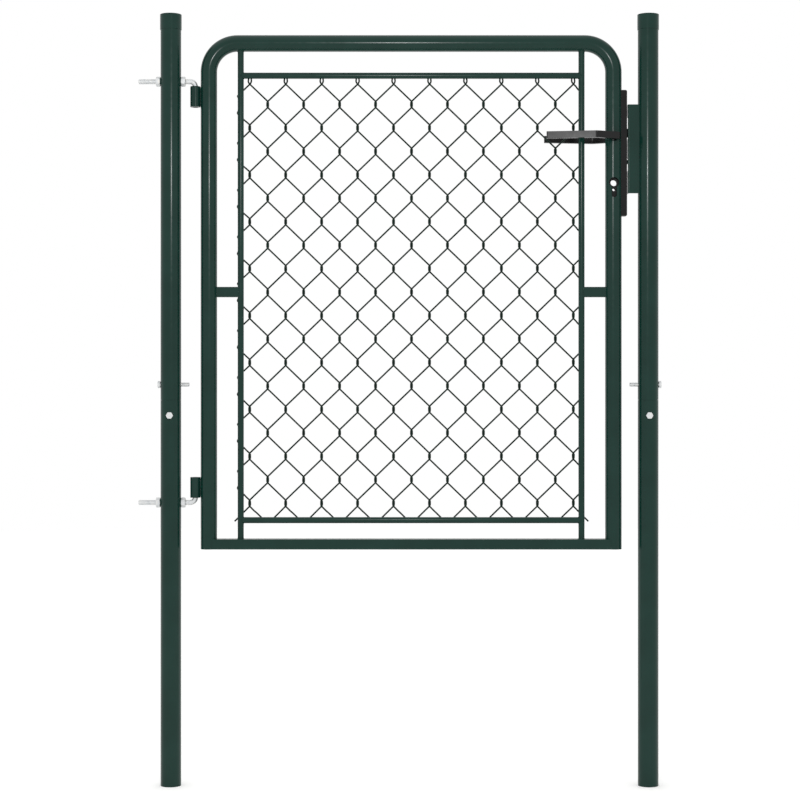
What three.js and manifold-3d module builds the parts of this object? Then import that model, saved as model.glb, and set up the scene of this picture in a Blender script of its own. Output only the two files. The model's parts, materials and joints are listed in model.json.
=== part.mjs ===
// Single garden gate, 1.5 m high: a chain-link leaf in a bent steel tube, hung on two hook bolts
// between two round posts, with a narrow lock in its free stile.
// Millimetres. +X runs from the hinge post to the lock post, +Y is the back, +Z is up.
// The origin is the middle of the gate's footprint, at the feet of the posts.

import * as THREE from "three";
import { mergeVertices } from "three/addons/utils/BufferGeometryUtils.js";
import Module from "manifold-3d";

const wasm = await Module();
wasm.setup();

// ---------------------------------------------------------------- driving dimensions
const GAP = 0.3; // left between pieces that touch, are welded or are bolted together
const PAST = 5; // how far a cutting tool runs past the face that it cuts

// posts: two 750 mm lengths of tube on an inner sleeve, under a pressed cap
const POST_HEIGHT = 1500;
const POST_R = 20;
const POST_WALL = 1.5;
const POST_X = { left: -446, right: 483 };
const POST_JOINT_Z = 750;
const SLEEVE_LENGTH = 200;
const SLEEVE_WALL = 1.5;
const CAP_R = 21;
const CAP_HEIGHT = 29.6;
const CAP_TOP = 3;

// M8 screws that hold the sleeve: one along X above the joint, one along Y below it
const JOINT_SCREW_RISE = 30;
const SCREW = { shankR: 4, holeR: 4.4, acrossFlats: 13, head: 5.3, shank: 56.3 };

// leaf: an arch of round tube, closed at its foot by a rectangular rail
const LEAF_BOTTOM = 460;
const LEAF_TOP = 1460;
const STILE_R = 16;
const STILE_WALL = 1.5;
const STILE_X = { left: -372, right: 415.4 };
const CORNER_R = 56; // of the tube's centre line
const RAIL = { height: 20, depth: 30, wall: 1.5 };
const STRUT = { height: 20, depth: 10, wall: 1.5 };

// round bars that carry the mesh
const BAR_R = 6;
const BAR_WALL = 1;
const BAR_X = { left: -310, right: 353.3 };
const BAR_Z = { bottom: 516.1, top: 1381.2 };

// chain-link mesh of zigzag wires, woven around the bars
const WIRE_R = 1.5; // half diagonal of the square section that stands for 2.5 mm round wire
const WIRES = 20;
const COLUMN_0 = -292.6; // the first column of knots
const COLUMN_STEP = 35;
const ROW_0 = 1371; // the wires' crossings under the top bar
const ROW_STEP = 45.65;
const ROWS = 19;
const KNOT_HALF = 5; // half height of a knot's upright stretch
const WIRE_OFFSET = 1.65; // of a wire from the knot's middle, sideways and front to back
const WRAP_R = 8.4; // of a wire's centre line around a bar
const HOOK = { aside: 2.5, foot: -16, low: -7, high: 4 }; // up behind the top bar, from its middle
const TAIL = { toBar: 22, toEnd: 30.3 }; // beyond the last knot, along X and along Z
// An edge wire's way behind its bar: degrees out to the bar's far side, and height above its row.
const WRAP = [[0, 24.9], [20, 18], [20, -11], [55, -14], [90, -17], [45, -20.5], [0, -24.9]];
// A stretch from a knot's front passes behind its bar too: distance before the axis, and depth.
const DIVE = [[11, -1.4], [7.5, 5.5]];

// hinges: M10 bolts with a hooked end, in barrels welded to the stile
const HINGE_ROD_RISE = 409.5; // above and below the leaf's middle
const ROD_R = 5;
const ROD_HOLE_R = 5.6;
const ROD_BEND_R = 10;
const ROD_END_X = -(POST_X.right + POST_R + GAP + SCREW.head); // as far out as the screw head
const NUT = { acrossFlats: 17, height: 8.4, boreR: 5.6 };
const BARREL = { r: 10, boreR: 5.5, length: 40, rise: 380 };

// lock
const SPINDLE_Z = 1261.4;
const CYLINDER_Z = 1172;
const CASE = { back: 403.5, front: 429.6, halfY: 7, bottom: 1132, top: 1328, wall: 1.3 };
const CASE_SLOT = { clearY: 0.6, clearZ: 3 }; // around the case, in the stile
const PLATE = { front: 441.2, halfY: 8, bottom: 1107.5, top: 1352.5, cornerR: 3 };
const PLATE_SCREW = { r: 2, holeR: 2.5, headR: 3.7, head: 1.9, end: 424, inset: 10 };
const SPINDLE = { half: 4, socketHalf: 4.3, reach: 29 };
// A lever's outline from above: along the gate from the spindle, and out from the gate's plane.
const LEVER = {
  height: 13.4,
  stand: 17,
  bossEnd: 10.6,
  bossSide: -7,
  bend: -36.5,
  reach: 50,
  tip: -132.5,
  lean: 12.5, // how much nearer the gate the grip's end is than its start
};
const FOLLOWER = { r: 9, halfY: 4.8, lobeR: 18, lobeHalf: 2, lobeHalfY: 3, lobeTilt: 17.5 };
const LATCH = { front: 451.5, shoulder: 435.5, halfY: 5, bottom: 1260.9, top: 1277.6, flatNose: 2 };
const LATCH_BEVEL = 9; // how far back from the tip the bevel starts on the front face
const RISER = { back: 425.5, front: 430, halfY: 3, bottom: 1272, top: 1293 };
const LATCH_ARM = { back: 415.6, bottom: 1280.5, top: 1284, hook: 2, hookBottom: 1276 };
const LATCH_SPRING = { r: 2.9, wireR: 0.5, turns: 6, sides: 8, z: 1289 };
const DEADBOLT = { back: 406, front: 443.9, halfY: 4, bottom: 1209.3, top: 1216.9 };
const TALON = { width: 10.5, bottom: 1189 };
const CUTOUT = { r: 10, leg: 10, foot: 1143 }; // in both walls of the stile
const CASE_HOLE = { r: 6.3, footR: 2.9, footZ: 1158.8 }; // a round hole and a small one below it
const STILE_SPINDLE_R = 9;
const CASE_SPINDLE_R = 6.5;
const BOLT_CLEAR = 0.4; // around each bolt, in the faceplate

// strike: an angle on the lock post, with a window for each bolt
const STRIKE = { x: 442.6, wall: 2, front: -8.5, back: 8.5, bottom: 1151.5, top: 1324.2 };
const STRIKE_LIP = { start: -0.5, out: 4.5, beyond: 2 }; // behind each window the edge is bent away
const STRIKE_WINDOW_HALF_Y = 6;
const LATCH_WINDOW = { bottom: 1258, top: 1299 };
const DEADBOLT_WINDOW = { bottom: 1196, top: 1219 };

// facets
const SIDES = { post: 20, stile: 16, bar: 12, rod: 10, hole: 12 };

// ---------------------------------------------------------------- materials
const COLOUR = { green: 0x28403a, wire: 0x22332e, black: 0x222323, zinc: 0xc4c6c8 };

function finish(colour, roughness, metalness) {
  return new THREE.MeshStandardMaterial({ color: colour, roughness, metalness });
}

const greenCoat = () => finish(COLOUR.green, 0.42, 0.1);
const wireCoat = () => finish(COLOUR.wire, 0.5, 0.1);
const blackCoat = () => finish(COLOUR.black, 0.35, 0.2);
const zincPlate = () => finish(COLOUR.zinc, 0.35, 0.9);

// ---------------------------------------------------------------- solids from geometry
function solid(geometry) {
  const bare = geometry.clone();
  bare.deleteAttribute("normal");
  bare.deleteAttribute("uv");
  const merged = mergeVertices(bare, 1e-4);
  return new wasm.Manifold(
    new wasm.Mesh({
      numProp: 3,
      vertProperties: new Float32Array(merged.attributes.position.array),
      triVerts: new Uint32Array(merged.index.array),
    }),
  );
}

function geometryOf(made) {
  const mesh = made.getMesh();
  const geometry = new THREE.BufferGeometry();
  geometry.setAttribute("position", new THREE.BufferAttribute(mesh.vertProperties, 3));
  geometry.setIndex(new THREE.BufferAttribute(mesh.triVerts, 1));
  geometry.computeVertexNormals();
  return geometry;
}

function cut(body, ...tools) {
  return tools.reduce((left, tool) => left.subtract(tool), body);
}

function join(first, ...others) {
  return others.reduce((whole, other) => whole.add(other), first);
}

function box(x0, x1, y0, y1, z0, z1) {
  const geometry = new THREE.BoxGeometry(x1 - x0, y1 - y0, z1 - z0);
  geometry.translate((x0 + x1) / 2, (y0 + y1) / 2, (z0 + z1) / 2);
  return solid(geometry);
}

// A round bar from one end to the other along an axis, at a place across it. It can taper.
function bar(axis, r, from, to, place, sides, startR = r) {
  const geometry = new THREE.CylinderGeometry(r, startR, to - from, sides);
  if (axis === "x") geometry.rotateZ(-Math.PI / 2);
  if (axis === "y") geometry.rotateY(Math.PI / 2);
  if (axis === "z") geometry.rotateX(Math.PI / 2);
  const middle = (from + to) / 2;
  geometry.translate(
    axis === "x" ? middle : place.x,
    axis === "y" ? middle : place.y,
    axis === "z" ? middle : place.z,
  );
  return solid(geometry);
}

function tube(axis, outer, inner, from, to, place, sides) {
  return cut(
    bar(axis, outer, from, to, place, sides),
    bar(axis, inner, from - PAST, to + PAST, place, sides),
  );
}

// A hexagonal prism. Its corners point up and down along X, and to the sides along Y.
function hexagon(axis, acrossFlats, from, to, place) {
  return bar(axis, acrossFlats / Math.sqrt(3), from, to, place, 6);
}

// A shape drawn in X and Y, raised along Z.
function raised(shape, z0, z1, curveSegments = 6) {
  const geometry = new THREE.ExtrudeGeometry(shape, {
    depth: z1 - z0,
    bevelEnabled: false,
    curveSegments,
  });
  geometry.translate(0, 0, z0);
  return solid(geometry);
}

// A shape drawn in X and Z, raised along Y.
function acrossGate(shape, y0, y1, curveSegments = 6) {
  const geometry = new THREE.ExtrudeGeometry(shape, {
    depth: y1 - y0,
    bevelEnabled: false,
    curveSegments,
  });
  geometry.rotateX(Math.PI / 2);
  geometry.translate(0, y1, 0);
  return solid(geometry);
}

// A path of straight runs between points, which an extrusion follows corner by corner.
class Runs extends THREE.Curve {
  constructor(points) {
    super();
    this.points = points;
    this.last = points.length - 1;
  }

  getPoint(t, target = new THREE.Vector3()) {
    const at = Math.min(Math.max(t, 0), 1) * this.last;
    const i = Math.min(Math.floor(at), this.last - 1);
    return target.lerpVectors(this.points[i], this.points[i + 1], at - i);
  }

  getPointAt(u, target) {
    return this.getPoint(u, target);
  }

  direction(i) {
    return this.points[i + 1].clone().sub(this.points[i]).normalize();
  }

  getTangentAt(u, target = new THREE.Vector3()) {
    const i = Math.round(u * this.last);
    const before = this.direction(Math.max(i - 1, 0));
    const after = this.direction(Math.min(i, this.last - 1));
    return target.copy(before.add(after).normalize());
  }
}

function swept(points, r, sides) {
  const section = new THREE.Shape(
    Array.from({ length: sides }, (_, i) => {
      const angle = (2 * Math.PI * i) / sides;
      return new THREE.Vector2(r * Math.cos(angle), r * Math.sin(angle));
    }),
  );
  const geometry = new THREE.ExtrudeGeometry(section, {
    steps: points.length - 1,
    extrudePath: new Runs(points),
    bevelEnabled: false,
  });
  return solid(geometry);
}

// Points on an arc about a centre in the XZ plane, angles in degrees from +X towards +Z.
function arc(centreX, centreZ, r, from, to, steps) {
  return Array.from({ length: steps + 1 }, (_, i) => {
    const angle = THREE.MathUtils.degToRad(from + ((to - from) * i) / steps);
    return new THREE.Vector3(centreX + r * Math.cos(angle), 0, centreZ + r * Math.sin(angle));
  });
}

// ---------------------------------------------------------------- the assembly
const gate = new THREE.Group();

function piece(name, made, material) {
  const mesh = new THREE.Mesh(geometryOf(made), material);
  mesh.name = name;
  gate.add(mesh);
}

const leafMiddle = (LEAF_BOTTOM + LEAF_TOP) / 2;
const topRailZ = LEAF_TOP - STILE_R;
const hingeX = STILE_X.left - STILE_R - GAP - BARREL.r;
const rodZ = { upper: leafMiddle + HINGE_ROD_RISE, lower: leafMiddle - HINGE_ROD_RISE };
const barrelZ = { upper: leafMiddle + BARREL.rise, lower: leafMiddle - BARREL.rise };

// ---------------------------------------------------------------- posts
function makePost(side) {
  const x = POST_X[side];
  const place = { x, y: 0, z: 0 };
  const inner = POST_R - POST_WALL;
  const upperScrewZ = POST_JOINT_Z + JOINT_SCREW_RISE;
  const lowerScrewZ = POST_JOINT_Z - JOINT_SCREW_RISE;
  const capBottom = POST_HEIGHT - CAP_HEIGHT;
  const postTop = POST_HEIGHT - CAP_TOP - GAP;

  const sideHole = (z, r) => bar("x", r, x - 2 * POST_R, x + 2 * POST_R, { x, y: 0, z }, SIDES.hole);
  const frontHole = (z, r) => bar("y", r, -2 * POST_R, 2 * POST_R, { x, y: 0, z }, SIDES.hole);

  let lower = tube("z", POST_R, inner, 0, POST_JOINT_Z - GAP / 2, place, SIDES.post);
  let upper = tube("z", POST_R, inner, POST_JOINT_Z + GAP / 2, postTop, place, SIDES.post);
  lower = cut(lower, frontHole(lowerScrewZ, SCREW.holeR));
  upper = cut(upper, sideHole(upperScrewZ, SCREW.holeR));
  if (side === "left") {
    lower = cut(lower, sideHole(rodZ.lower, ROD_HOLE_R));
    upper = cut(upper, sideHole(rodZ.upper, ROD_HOLE_R));
  }
  piece(side + "_post_lower", lower, greenCoat());
  piece(side + "_post_upper", upper, greenCoat());

  const sleeveR = inner - GAP;
  const sleeve = tube(
    "z",
    sleeveR,
    sleeveR - SLEEVE_WALL,
    POST_JOINT_Z - SLEEVE_LENGTH / 2,
    POST_JOINT_Z + SLEEVE_LENGTH / 2,
    place,
    SIDES.post,
  );
  const drilled = cut(
    sleeve,
    sideHole(upperScrewZ, SCREW.holeR),
    frontHole(lowerScrewZ, SCREW.holeR),
  );
  piece(side + "_post_sleeve", drilled, greenCoat());

  const cap = cut(
    bar("z", CAP_R, capBottom, POST_HEIGHT, place, SIDES.post),
    bar("z", POST_R + GAP, capBottom - PAST, POST_HEIGHT - CAP_TOP, place, SIDES.post),
  );
  piece(side + "_post_cap", cap, greenCoat());

  // The side screw's head is on the outside of the gate, and its end points at the leaf.
  const outward = side === "left" ? -1 : 1;
  const seat = POST_R + GAP;
  const sideHead = [x + outward * seat, x + outward * (seat + SCREW.head)].sort((a, b) => a - b);
  const sideShank = [x + outward * (seat + 1), x + outward * (seat - SCREW.shank)];
  sideShank.sort((a, b) => a - b);
  const sidePlace = { x, y: 0, z: upperScrewZ };
  const sideScrew = join(
    hexagon("x", SCREW.acrossFlats, sideHead[0], sideHead[1], sidePlace),
    bar("x", SCREW.shankR, sideShank[0], sideShank[1], sidePlace, SIDES.rod),
  );
  piece(side + "_post_side_screw", sideScrew, zincPlate());

  const frontPlace = { x, y: 0, z: lowerScrewZ };
  const frontScrew = join(
    hexagon("y", SCREW.acrossFlats, -seat - SCREW.head, -seat, frontPlace),
    bar("y", SCREW.shankR, -seat - 1, SCREW.shank - seat, frontPlace, SIDES.rod),
  );
  piece(side + "_post_front_screw", frontScrew, zincPlate());
}

// ---------------------------------------------------------------- hinges
function makeHinge(level) {
  const rod = rodZ[level];
  const towardsBarrel = level === "upper" ? -1 : 1;
  const bendX = hingeX - ROD_BEND_R;
  const bendZ = rod + towardsBarrel * ROD_BEND_R;
  const bend = arc(bendX, bendZ, ROD_BEND_R, -90 * towardsBarrel, 0, 6);
  const tip = barrelZ[level] + towardsBarrel * (BARREL.length / 2 - 3);
  const route = [
    new THREE.Vector3(ROD_END_X, 0, rod),
    ...bend,
    new THREE.Vector3(hingeX, 0, tip),
  ];
  piece(level + "_hinge_bolt", swept(route, ROD_R, SIDES.rod), zincPlate());

  const nutPlace = { x: 0, y: 0, z: rod };
  const starts = {
    outer: POST_X.left - POST_R - GAP - NUT.height,
    inner: POST_X.left + POST_R + GAP,
  };
  for (const [where, from] of Object.entries(starts)) {
    const nut = cut(
      hexagon("x", NUT.acrossFlats, from, from + NUT.height, nutPlace),
      bar("x", NUT.boreR, from - PAST, from + NUT.height + PAST, nutPlace, SIDES.rod),
    );
    piece(level + "_hinge_nut_" + where, nut, zincPlate());
  }

  const half = BARREL.length / 2;
  const barrelPlace = { x: hingeX, y: 0, z: 0 };
  const barrel = tube(
    "z",
    BARREL.r,
    BARREL.boreR,
    barrelZ[level] - half,
    barrelZ[level] + half,
    barrelPlace,
    SIDES.hole,
  );
  piece(level + "_hinge_barrel", barrel, greenCoat());
}

// ---------------------------------------------------------------- leaf frame
// The hole around the lock cylinder: a round top over a leg with a round end.
function cylinderCutout(halfY) {
  const x = STILE_X.right;
  const half = CUTOUT.leg / 2;
  const foot = { x, y: 0, z: CUTOUT.foot + half };
  return join(
    bar("y", CUTOUT.r, -halfY, halfY, { x, y: 0, z: CYLINDER_Z }, SIDES.stile),
    box(x - half, x + half, -halfY, halfY, foot.z, CYLINDER_Z),
    bar("y", half, -halfY, halfY, foot, SIDES.hole),
  );
}

function archPath(extra) {
  const left = STILE_X.left;
  const right = STILE_X.right;
  const springing = topRailZ - CORNER_R;
  return [
    new THREE.Vector3(left, 0, LEAF_BOTTOM - extra),
    ...arc(left + CORNER_R, springing, CORNER_R, 180, 90, 6),
    ...arc(right - CORNER_R, springing, CORNER_R, 90, 0, 6),
    new THREE.Vector3(right, 0, LEAF_BOTTOM - extra),
  ];
}

function plateScrewZs() {
  return [PLATE.bottom + PLATE_SCREW.inset, PLATE.top - PLATE_SCREW.inset];
}

function makeLeafFrame() {
  const outer = swept(archPath(0), STILE_R, SIDES.stile);
  const inner = swept(archPath(PAST), STILE_R - STILE_WALL, SIDES.stile);
  const slotHalfY = CASE.halfY + CASE_SLOT.clearY;
  const caseSlot = box(
    STILE_X.right,
    STILE_X.right + STILE_R + PAST,
    -slotHalfY,
    slotHalfY,
    CASE.bottom - CASE_SLOT.clearZ,
    CASE.top + CASE_SLOT.clearZ,
  );
  const spindlePlace = { x: STILE_X.right, y: 0, z: SPINDLE_Z };
  const spindleHole = bar("y", STILE_SPINDLE_R, -STILE_R - PAST, STILE_R + PAST, spindlePlace, SIDES.hole);
  const arch = cut(
    outer,
    inner,
    caseSlot,
    spindleHole,
    cylinderCutout(STILE_R + PAST),
    ...plateScrewZs().map((z) =>
      bar("x", PLATE_SCREW.holeR, STILE_X.right, PLATE.front, { x: 0, y: 0, z }, SIDES.hole),
    ),
  );
  piece("leaf_frame_tube", arch, greenCoat());

  const stiles = Object.values(STILE_X).map((x) =>
    bar("z", STILE_R + GAP, LEAF_BOTTOM - PAST, topRailZ, { x, y: 0, z: 0 }, SIDES.post),
  );
  const railTop = LEAF_BOTTOM + RAIL.height;
  const rail = cut(
    box(STILE_X.left, STILE_X.right, -RAIL.depth / 2, RAIL.depth / 2, LEAF_BOTTOM, railTop),
    box(
      STILE_X.left,
      STILE_X.right,
      -RAIL.depth / 2 + RAIL.wall,
      RAIL.depth / 2 - RAIL.wall,
      LEAF_BOTTOM + RAIL.wall,
      railTop - RAIL.wall,
    ),
    ...stiles,
  );
  piece("leaf_bottom_rail", rail, greenCoat());

  const topRail = bar(
    "x",
    STILE_R + GAP,
    STILE_X.left,
    STILE_X.right,
    { x: 0, y: 0, z: topRailZ },
    SIDES.post,
  );
  const uprights = Object.entries(BAR_X).map(([side, x]) => {
    const place = { x, y: 0, z: 0 };
    const upright = tube("z", BAR_R, BAR_R - BAR_WALL, railTop + GAP, topRailZ, place, SIDES.bar);
    piece("mesh_bar_" + side, cut(upright, topRail), greenCoat());
    return bar("z", BAR_R + GAP, LEAF_BOTTOM, topRailZ, place, SIDES.bar);
  });

  for (const [level, z] of Object.entries(BAR_Z)) {
    const place = { x: 0, y: 0, z };
    const across = tube("x", BAR_R, BAR_R - BAR_WALL, BAR_X.left, BAR_X.right, place, SIDES.bar);
    piece("mesh_bar_" + level, cut(across, ...uprights), greenCoat());
  }

  for (const side of ["left", "right"]) {
    const ends = [STILE_X[side], BAR_X[side]].sort((a, b) => a - b);
    const half = STRUT.height / 2;
    const strut = cut(
      box(ends[0], ends[1], -STRUT.depth / 2, STRUT.depth / 2, leafMiddle - half, leafMiddle + half),
      box(
        ends[0],
        ends[1],
        -STRUT.depth / 2 + STRUT.wall,
        STRUT.depth / 2 - STRUT.wall,
        leafMiddle - half + STRUT.wall,
        leafMiddle + half - STRUT.wall,
      ),
      ...stiles,
      ...uprights,
    );
    piece("leaf_strut_" + side, strut, greenCoat());
  }
}

// ---------------------------------------------------------------- mesh wires
// Wire n hooks into its neighbours at the columns n - 1 and n. Knots stand on even columns at
// even rows and on odd columns at odd rows. A stretch that falls to the right lies in front.
// The first and the last wire bend behind the upright bars at their odd rows. Every wire hooks
// up behind the top bar, and its tail crosses the bottom bar, or the upright one on an edge wire.
function wirePath(n) {
  const onLeftEdge = n === 0;
  const onEdge = onLeftEdge || n === WIRES - 1;
  const edgeX = onLeftEdge ? BAR_X.left : BAR_X.right;
  const evenOnRight = n % 2 === 0;
  const knotX = onLeftEdge ? COLUMN_0 : COLUMN_0 + COLUMN_STEP * (WIRES - 2);
  const fall = ROW_STEP - KNOT_HALF - WRAP[0][1];
  const slope = fall / (Math.abs(edgeX - knotX) + WIRE_OFFSET);
  const points = [];
  const add = (x, y, z) => points.push(new THREE.Vector3(x, y, z));
  let tail = null;

  for (let row = 0; row < ROWS; row += 1) {
    const atRight = (row % 2 === 0) === evenOnRight;
    const sideways = atRight ? 1 : -1;
    const columnX = COLUMN_0 + COLUMN_STEP * (atRight ? n : n - 1);
    const x = columnX + sideways * WIRE_OFFSET;
    const z = ROW_0 - ROW_STEP * row;
    const arriving = atRight ? -1 : 1;
    const leaving = -arriving;
    if (row === 0) {
      const hookX = columnX + sideways * HOOK.aside;
      add(hookX, WRAP_R, BAR_Z.top + HOOK.high);
      add(hookX, WRAP_R, BAR_Z.top + HOOK.low);
      add(hookX, leaving * WIRE_OFFSET, BAR_Z.top + HOOK.foot);
    } else if (onEdge && row % 2 === 1) {
      const wrap = WRAP.map(([degrees, rise]) => {
        const angle = THREE.MathUtils.degToRad(degrees);
        return [WRAP_R * Math.sin(angle), WRAP_R * Math.cos(angle), rise];
      });
      const dive = DIVE.map(([before, depth]) => [
        -before,
        depth,
        leaving * (WRAP[0][1] + slope * before),
      ]);
      const way = arriving < 0 ? [...dive, ...wrap] : [...wrap, ...dive.reverse()];
      for (const [out, depth, rise] of way) {
        add(edgeX + sideways * out, depth, z + rise);
      }
    } else {
      add(x, arriving * WIRE_OFFSET, z + KNOT_HALF);
      add(x, leaving * WIRE_OFFSET, z - KNOT_HALF);
      tail = { x, z: z - KNOT_HALF, side: leaving, way: -sideways };
    }
  }
  const toBar = onEdge ? Math.abs(edgeX - tail.x) : TAIL.toBar;
  const dive = tail.side < 0 ? DIVE.map(([before, depth]) => [toBar - before, depth]) : [];
  for (const [run, depth] of [...dive, [toBar, WRAP_R], [TAIL.toEnd, WRAP_R]]) {
    add(tail.x + tail.way * run, depth, tail.z - run);
  }
  return points;
}

function makeMesh() {
  for (let n = 0; n < WIRES; n += 1) {
    const name = "mesh_wire_" + String(n + 1).padStart(2, "0");
    piece(name, swept(wirePath(n), WIRE_R, 4), wireCoat());
  }
}

// ---------------------------------------------------------------- lock
function makeLockCase() {
  const x = STILE_X.right;
  const holes = [
    bar("y", CASE_SPINDLE_R, -STILE_R, STILE_R, { x, y: 0, z: SPINDLE_Z }, SIDES.hole),
    bar("y", CASE_HOLE.r, -STILE_R, STILE_R, { x, y: 0, z: CYLINDER_Z }, SIDES.stile),
    bar("y", CASE_HOLE.footR, -STILE_R, STILE_R, { x, y: 0, z: CASE_HOLE.footZ }, SIDES.hole),
  ];
  const coverBack = CASE.halfY - CASE.wall;
  const tray = cut(
    box(CASE.back, CASE.front, -CASE.halfY, coverBack - GAP, CASE.bottom, CASE.top),
    box(
      CASE.back + CASE.wall,
      CASE.front + PAST,
      -CASE.halfY + CASE.wall,
      STILE_R,
      CASE.bottom + CASE.wall,
      CASE.top - CASE.wall,
    ),
    ...holes,
  );
  piece("lock_case", tray, blackCoat());
  const cover = cut(
    box(CASE.back, CASE.front, coverBack, CASE.halfY, CASE.bottom, CASE.top),
    ...holes,
  );
  piece("lock_cover", cover, blackCoat());
}

function makeFaceplate() {
  const inside = STILE_X.right + STILE_R / 2;
  const r = PLATE.cornerR;
  const outline = new THREE.Shape();
  outline.moveTo(inside, PLATE.bottom);
  outline.lineTo(PLATE.front - r, PLATE.bottom);
  outline.absarc(PLATE.front - r, PLATE.bottom + r, r, -Math.PI / 2, 0, false);
  outline.absarc(PLATE.front - r, PLATE.top - r, r, 0, Math.PI / 2, false);
  outline.lineTo(inside, PLATE.top);
  outline.closePath();
  const stile = bar(
    "z",
    STILE_R + GAP,
    PLATE.bottom - PAST,
    PLATE.top + PAST,
    { x: STILE_X.right, y: 0, z: 0 },
    SIDES.post,
  );
  const boltHole = (bolt) =>
    box(
      inside,
      PLATE.front + PAST,
      -bolt.halfY - BOLT_CLEAR,
      bolt.halfY + BOLT_CLEAR,
      bolt.bottom - BOLT_CLEAR,
      bolt.top + BOLT_CLEAR,
    );
  const headBack = PLATE.front - PLATE_SCREW.head;
  const screwHoles = plateScrewZs().flatMap((z) => {
    const place = { x: 0, y: 0, z };
    return [
      bar("x", PLATE_SCREW.holeR, inside, PLATE.front + PAST, place, SIDES.hole),
      bar(
        "x",
        PLATE_SCREW.headR + 2 * GAP,
        headBack - GAP,
        PLATE.front + GAP,
        place,
        SIDES.hole,
        PLATE_SCREW.holeR,
      ),
    ];
  });
  const plate = cut(
    acrossGate(outline, -PLATE.halfY, PLATE.halfY),
    stile,
    boltHole(LATCH),
    boltHole(DEADBOLT),
    ...screwHoles,
  );
  piece("lock_faceplate", plate, blackCoat());

  plateScrewZs().forEach((z, i) => {
    const place = { x: 0, y: 0, z };
    const screw = join(
      bar("x", PLATE_SCREW.r, PLATE_SCREW.end, headBack + GAP, place, SIDES.rod),
      bar("x", PLATE_SCREW.headR, headBack, PLATE.front, place, SIDES.rod, PLATE_SCREW.r),
    );
    piece("faceplate_screw_" + (i === 0 ? "bottom" : "top"), screw, zincPlate());
  });
}

// The lever seen from above: a neck on the spindle, a slanting arm and a straight grip.
function leverOutline(sign) {
  const at = (u, v) => [STILE_X.right + u, sign * v];
  const { stand, bossEnd, bossSide, bend, reach, tip, lean } = LEVER;
  const outline = new THREE.Shape();
  outline.moveTo(...at(bossSide, stand));
  outline.lineTo(...at(bossEnd - 1, stand));
  outline.quadraticCurveTo(...at(bossEnd, stand), ...at(bossEnd, stand + 1));
  outline.lineTo(...at(bossEnd, stand + 8));
  outline.quadraticCurveTo(...at(bossEnd, stand + 11.5), ...at(bossEnd - 4, stand + 13.5));
  outline.lineTo(...at(bend + 5, reach - 2.4));
  outline.quadraticCurveTo(...at(bend, reach), ...at(bend - 4, reach - 0.2));
  const end = reach - lean;
  outline.lineTo(...at(tip + 2, end));
  outline.quadraticCurveTo(...at(tip, end - 0.1), ...at(tip, end - 2));
  outline.lineTo(...at(tip, end - 6));
  outline.quadraticCurveTo(...at(tip, end - 8), ...at(tip + 2, end - 8));
  outline.lineTo(...at(bend, reach - 8));
  outline.lineTo(...at(bossSide, stand + 10.5));
  outline.closePath();
  return outline;
}

function makeLevers() {
  const x = STILE_X.right;
  const socket = SPINDLE.socketHalf;
  const squareHole = (y0, y1) =>
    box(x - socket, x + socket, y0, y1, SPINDLE_Z - socket, SPINDLE_Z + socket);
  const half = LEVER.height / 2;
  const lever = (sign) => raised(leverOutline(sign), SPINDLE_Z - half, SPINDLE_Z + half, 3);

  const s = SPINDLE.half;
  const spindle = box(x - s, x + s, -LEVER.stand - s, SPINDLE.reach, SPINDLE_Z - s, SPINDLE_Z + s);
  piece("front_lever", join(lever(-1), spindle), blackCoat());
  piece("back_lever", cut(lever(1), squareHole(0, SPINDLE.reach + GAP)), blackCoat());

  const lobeLength = FOLLOWER.lobeR - FOLLOWER.r / 2;
  const lobe = new THREE.BoxGeometry(2 * FOLLOWER.lobeHalf, 2 * FOLLOWER.lobeHalfY, lobeLength);
  lobe.translate(0, 0, FOLLOWER.lobeR - lobeLength / 2);
  lobe.rotateY(THREE.MathUtils.degToRad(FOLLOWER.lobeTilt));
  lobe.translate(x, 0, SPINDLE_Z);
  const place = { x, y: 0, z: SPINDLE_Z };
  const hub = bar("y", FOLLOWER.r, -FOLLOWER.halfY, FOLLOWER.halfY, place, SIDES.stile);
  const follower = cut(join(hub, solid(lobe)), squareHole(-STILE_R, STILE_R));
  piece("lever_follower", follower, zincPlate());
}

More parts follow.
